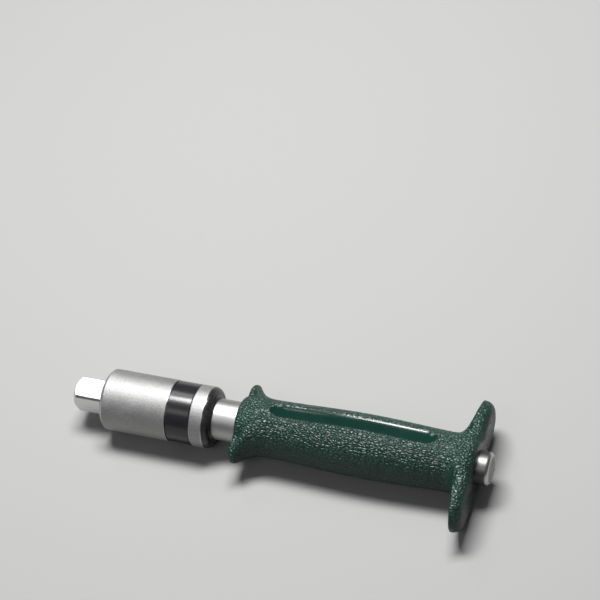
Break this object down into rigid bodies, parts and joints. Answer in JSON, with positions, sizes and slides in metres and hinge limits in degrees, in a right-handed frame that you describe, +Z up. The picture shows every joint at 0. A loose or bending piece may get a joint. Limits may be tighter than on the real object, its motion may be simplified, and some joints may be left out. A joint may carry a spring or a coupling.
{
  "type": "hand impact driver",
  "caption": "Hand impact driver: square-drive steel barrel with a black band, bare steel neck, winged rubber grip with a rear hand guard and a steel strike cap.",
  "frame": {"origin": "under the middle of the tool's length, on the surface that it lies on", "axes": "+X along the tool from the drive to the strike cap, +Y along a wing of the hand guard, +Z up"},
  "size_m": [0.2086, 0.0702, 0.0301],
  "materials": {
    "satin_chrome": "blasted satin chrome on steel",
    "bright_steel": "polished steel",
    "inner_steel": "turned and hardened steel, lightly greased",
    "spring_steel": "drawn spring wire",
    "black_band": "glossy black",
    "black_seal": "smooth black rubber",
    "green_rubber": "dark green moulded rubber with a leather grain",
    "liner": "glass filled nylon",
    "o_ring": "nitrile rubber"
  },
  "bodies": {
    "handle": {"cam_shank": "bright_steel", "friction_ring": "o_ring", "grip_core": "liner", "lock_pin": "inner_steel", "end_washer": "inner_steel", "retaining_ring": "spring_steel", "grip": "green_rubber", "strike_cap": "bright_steel", "main_spring": "spring_steel"},
    "carriage": {"thrust_washer": "inner_steel"},
    "head": {"barrel": "satin_chrome", "cross_pin": "inner_steel", "cover_band": "black_band", "dust_seal": "black_seal", "detent_spring": "spring_steel"},
    "detent": {"detent_ball": "bright_steel"}
  },
  "joints": [
    {"name": "stroke", "type": "slide", "parent": "handle", "child": "carriage", "axis": [1, 0, 0], "range_m": [0, 0.008], "stiffness_N_per_m": 3000, "springref_m": -0.005, "deforming": ["main_spring"]},
    {"name": "head_turn", "type": "hinge", "parent": "carriage", "child": "head", "pos_m": [-0.0783, 0, 0.01505], "axis": [1, 0, 0], "range_deg": [0, 30]},
    {"name": "detent_push", "type": "slide", "parent": "head", "child": "detent", "axis": [0, -1, 0], "range_m": [0, 0.0008], "stiffness_N_per_m": 2000, "springref_m": -0.002, "deforming": ["detent_spring"]}
  ],
  "couplings": [
    {"joint": "head_turn", "follows": "stroke", "rad_per_m": 65.45}
  ]
}
